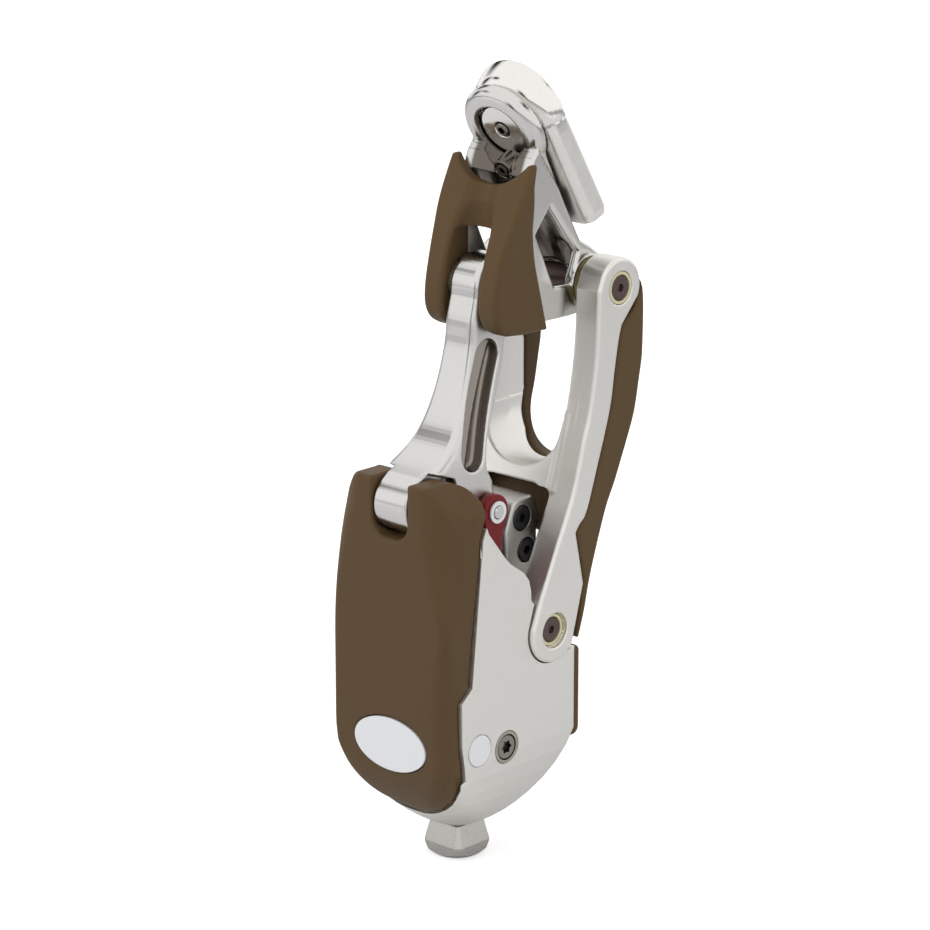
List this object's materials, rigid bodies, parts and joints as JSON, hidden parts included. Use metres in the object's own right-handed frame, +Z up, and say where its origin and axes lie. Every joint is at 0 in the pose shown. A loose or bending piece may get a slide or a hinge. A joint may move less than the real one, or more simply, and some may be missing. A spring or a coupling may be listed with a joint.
{
  "type": "prosthetic hip joint",
  "caption": "Prosthetic hip joint: a four-bar linkage between a round housing on a pyramid adapter and a tilted socket plate, damped by a small hydraulic unit.",
  "frame": {"origin": "centre of the pyramid adapter's distal end face", "axes": "+Z up from the pyramid towards the socket plate, -Y to the front (the broad brown cover), +X to the side with the small round disc"},
  "size_m": [0.0664, 0.111, 0.3146],
  "materials": {
    "cover_polymer": "fine matte moulded brown",
    "satin_aluminium": "satin, fine vertical grain",
    "polished_metal": "polished",
    "brushed_steel": "brushed",
    "dark_steel": "dark oiled",
    "axle_coating": "dull mauve coating",
    "bush_polymer": "pale bearing polymer",
    "flange_bronze": "dull olive bronze",
    "spring_elastomer": "dark red elastomer",
    "white_label": "glossy white",
    "black_screw": "black oxide",
    "hard_chrome": "mirror"
  },
  "bodies": {
    "housing": {"housing": "satin_aluminium", "dome_cap": "satin_aluminium", "front_cover": "cover_polymer", "rear_cover": "cover_polymer", "pyramid_adapter": "brushed_steel", "oval_badge": "white_label", "side_disc": "white_label", "trunnion": "brushed_steel", "torx_screw_left": "dark_steel", "torx_screw_right": "dark_steel", "screw_washer_left": "bush_polymer", "screw_washer_right": "bush_polymer", "lower_front_axle": "brushed_steel", "front_bush_left": "bush_polymer", "front_bush_right": "bush_polymer", "valve_block": "satin_aluminium", "spring_strap_left": "spring_elastomer", "spring_strap_right": "spring_elastomer", "block_bush": "bush_polymer"},
    "front_link": {"front_link": "polished_metal", "upper_front_axle": "brushed_steel", "hub_spacer_left": "bush_polymer", "hub_spacer_right": "bush_polymer", "strap_pin": "hard_chrome", "strap_clip_left": "white_label", "strap_clip_right": "white_label"},
    "cylinder": {"cylinder": "brushed_steel", "gland_nut": "black_screw"},
    "rod": {"piston_rod": "hard_chrome"},
    "yoke": {"rear_yoke": "satin_aluminium", "yoke_cover": "cover_polymer", "upper_rear_axle": "axle_coating", "lower_rear_axle": "axle_coating", "upper_ring_left": "bush_polymer", "upper_ring_right": "bush_polymer", "lower_ring_left": "bush_polymer", "lower_ring_right": "bush_polymer"},
    "head": {"head_frame": "polished_metal", "head_cover": "cover_polymer", "clamp_screw": "dark_steel", "boss_bush_left": "flange_bronze", "boss_bush_right": "flange_bronze"},
    "plate": {"lamination_plate": "satin_aluminium", "plate_screw": "dark_steel"},
    "valve_screw_upper": {"valve_screw_upper": "black_screw"},
    "valve_screw_lower": {"valve_screw_lower": "black_screw"}
  },
  "joints": [
    {"name": "yoke_pivot", "type": "hinge", "parent": "housing", "child": "yoke", "pos_m": [0, 0.021, 0.0945], "axis": [1, 0, 0], "range_deg": [-1.02, 0]},
    {"name": "hip_flexion", "type": "hinge", "parent": "yoke", "child": "head", "pos_m": [0, 0.058, 0.2256], "axis": [1, 0, 0], "range_deg": [0, 91.01]},
    {"name": "front_link_pivot", "type": "hinge", "parent": "housing", "child": "front_link", "pos_m": [0, -0.026, 0.1505], "axis": [1, 0, 0], "range_deg": [-40.5, 0], "deforming": ["spring_strap_left", "spring_strap_right"]},
    {"name": "cylinder_swing", "type": "hinge", "parent": "housing", "child": "cylinder", "pos_m": [0, -0.0046, 0.0525], "axis": [1, 0, 0], "range_deg": [0, 7.12]},
    {"name": "rod_slide", "type": "slide", "parent": "cylinder", "child": "rod", "axis": [0, 0.0662, 0.9978], "range_m": [-0.01655, 0]},
    {"name": "plate_turn", "type": "hinge", "parent": "head", "child": "plate", "pos_m": [0, 0.0292, 0.2898], "axis": [0, 0.891, 0.454], "range_deg": [-15, 15]},
    {"name": "valve_upper_turn", "type": "hinge", "parent": "housing", "child": "valve_screw_upper", "pos_m": [0.012, 0.0224, 0.1363], "axis": [1, 0, 0], "range_deg": [-150, 150]},
    {"name": "valve_lower_turn", "type": "hinge", "parent": "housing", "child": "valve_screw_lower", "pos_m": [0.012, 0.025, 0.1228], "axis": [1, 0, 0], "range_deg": [-150, 150]}
  ],
  "couplings": [
    {"joint": "yoke_pivot", "follows": "hip_flexion", "ratio": -0.011145},
    {"joint": "front_link_pivot", "follows": "hip_flexion", "ratio": -0.44492},
    {"joint": "cylinder_swing", "follows": "hip_flexion", "ratio": 0.078146},
    {"joint": "rod_slide", "follows": "hip_flexion", "m_per_rad": -0.010384}
  ]
}
